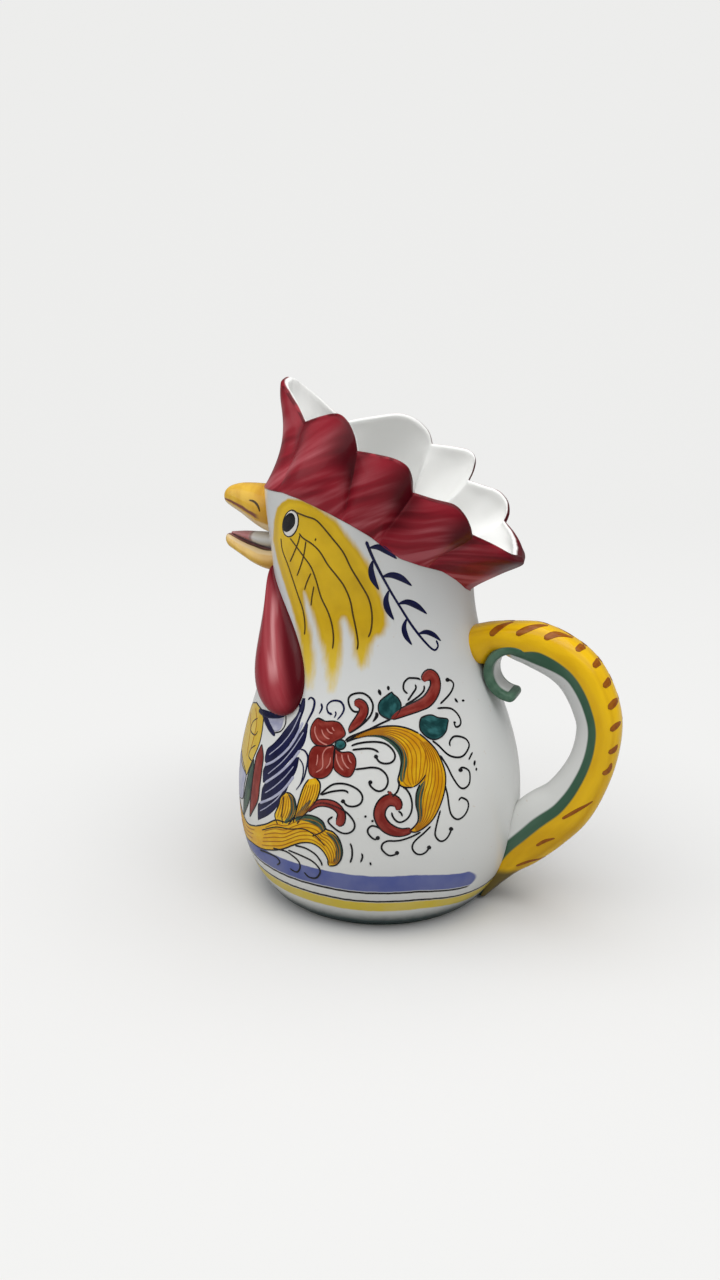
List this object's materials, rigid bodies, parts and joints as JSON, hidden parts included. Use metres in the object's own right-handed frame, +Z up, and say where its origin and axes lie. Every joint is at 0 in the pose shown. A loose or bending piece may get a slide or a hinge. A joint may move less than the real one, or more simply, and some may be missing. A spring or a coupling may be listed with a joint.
{
  "type": "rooster pitcher",
  "caption": "Glazed earthenware pitcher shaped as a rooster: swelling body, scalloped open comb as the mouth, open beak, flat wattles and a strap handle with a rolled scroll.",
  "frame": {"origin": "centre of the flat foot, on the surface that the pitcher stands on", "axes": "+Z up, -X the way the beak points, +X the way the handle points, +Y the rooster's right side"},
  "size_m": [0.1998, 0.14, 0.2459],
  "materials": {
    "glazed_body": "gloss",
    "comb_red": "gloss",
    "beak_yellow": "gloss",
    "tongue_pink": "gloss",
    "wattle_red": "gloss",
    "handle_yellow": "gloss"
  },
  "bodies": {
    "root": {"body": "glazed_body", "comb_left": "comb_red", "comb_right": "comb_red", "beak_upper": "beak_yellow", "beak_lower": "beak_yellow", "tongue": "tongue_pink", "wattle_left": "wattle_red", "wattle_right": "wattle_red", "handle": "handle_yellow"}
  },
  "joints": []
}
